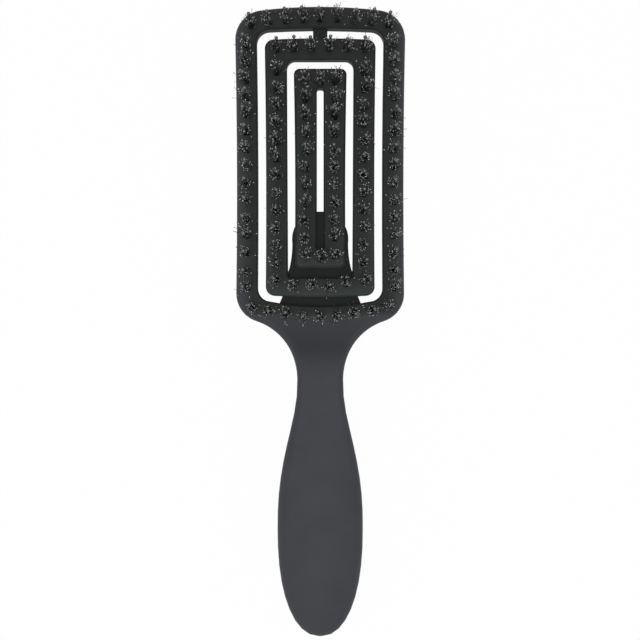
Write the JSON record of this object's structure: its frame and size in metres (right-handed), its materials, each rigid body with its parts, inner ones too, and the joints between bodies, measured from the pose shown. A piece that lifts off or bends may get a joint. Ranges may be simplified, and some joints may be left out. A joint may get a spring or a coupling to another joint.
{
  "type": "vent hairbrush",
  "caption": "Vented paddle hairbrush with nested slotted rings, a flexing centre tongue, bristle tufts with ball-tipped pins and a rounded handle.",
  "frame": {"origin": "on the plane that the brush lies on, under the middle of its length and width", "axes": "+X to the right across the head seen from the bristles, +Y from the handle to the head, +Z from the flat back to the bristle tips"},
  "size_m": [0.0652, 0.2387, 0.018],
  "materials": {
    "soft_touch_body": "moulded ABS with a matte soft-touch coat, charcoal",
    "boar_bristle": "black boar bristle, slightly glossy, with pale split tips",
    "nylon_pin": "black nylon with a rounded ball tip",
    "anchor_steel": "plain steel strip, sealed in the tuft socket"
  },
  "bodies": {
    "frame": {"handle_frame": "soft_touch_body", "middle_ring": "soft_touch_body", "top_bridge": "soft_touch_body", "lower_web": "soft_touch_body", "tongue_hinge": "soft_touch_body", "outer_top_bristles": "boar_bristle", "outer_top_pins": "nylon_pin", "outer_top_anchors": "anchor_steel", "outer_bottom_bristles": "boar_bristle", "outer_bottom_pins": "nylon_pin", "outer_bottom_anchors": "anchor_steel", "outer_left_bristles": "boar_bristle", "outer_left_pins": "nylon_pin", "outer_left_anchors": "anchor_steel", "outer_right_bristles": "boar_bristle", "outer_right_pins": "nylon_pin", "outer_right_anchors": "anchor_steel", "middle_top_bristles": "boar_bristle", "middle_top_pins": "nylon_pin", "middle_top_anchors": "anchor_steel", "middle_bottom_bristles": "boar_bristle", "middle_bottom_pins": "nylon_pin", "middle_bottom_anchors": "anchor_steel", "middle_left_bristles": "boar_bristle", "middle_left_pins": "nylon_pin", "middle_left_anchors": "anchor_steel", "middle_right_bristles": "boar_bristle", "middle_right_pins": "nylon_pin", "middle_right_anchors": "anchor_steel"},
    "tongue": {"centre_tongue": "soft_touch_body", "tongue_left_bristles": "boar_bristle", "tongue_left_pins": "nylon_pin", "tongue_left_anchors": "anchor_steel", "tongue_right_bristles": "boar_bristle", "tongue_right_pins": "nylon_pin", "tongue_right_anchors": "anchor_steel", "tongue_centre_bristles": "boar_bristle", "tongue_centre_pins": "nylon_pin", "tongue_centre_anchors": "anchor_steel"}
  },
  "joints": [
    {"name": "tongue_flex", "type": "hinge", "parent": "frame", "child": "tongue", "pos_m": [0, 0.0176, 0.0009], "axis": [1, 0, 0], "range_deg": [-6, 4], "stiffness_Nm_per_rad": 3, "deforming": ["tongue_hinge"]}
  ]
}
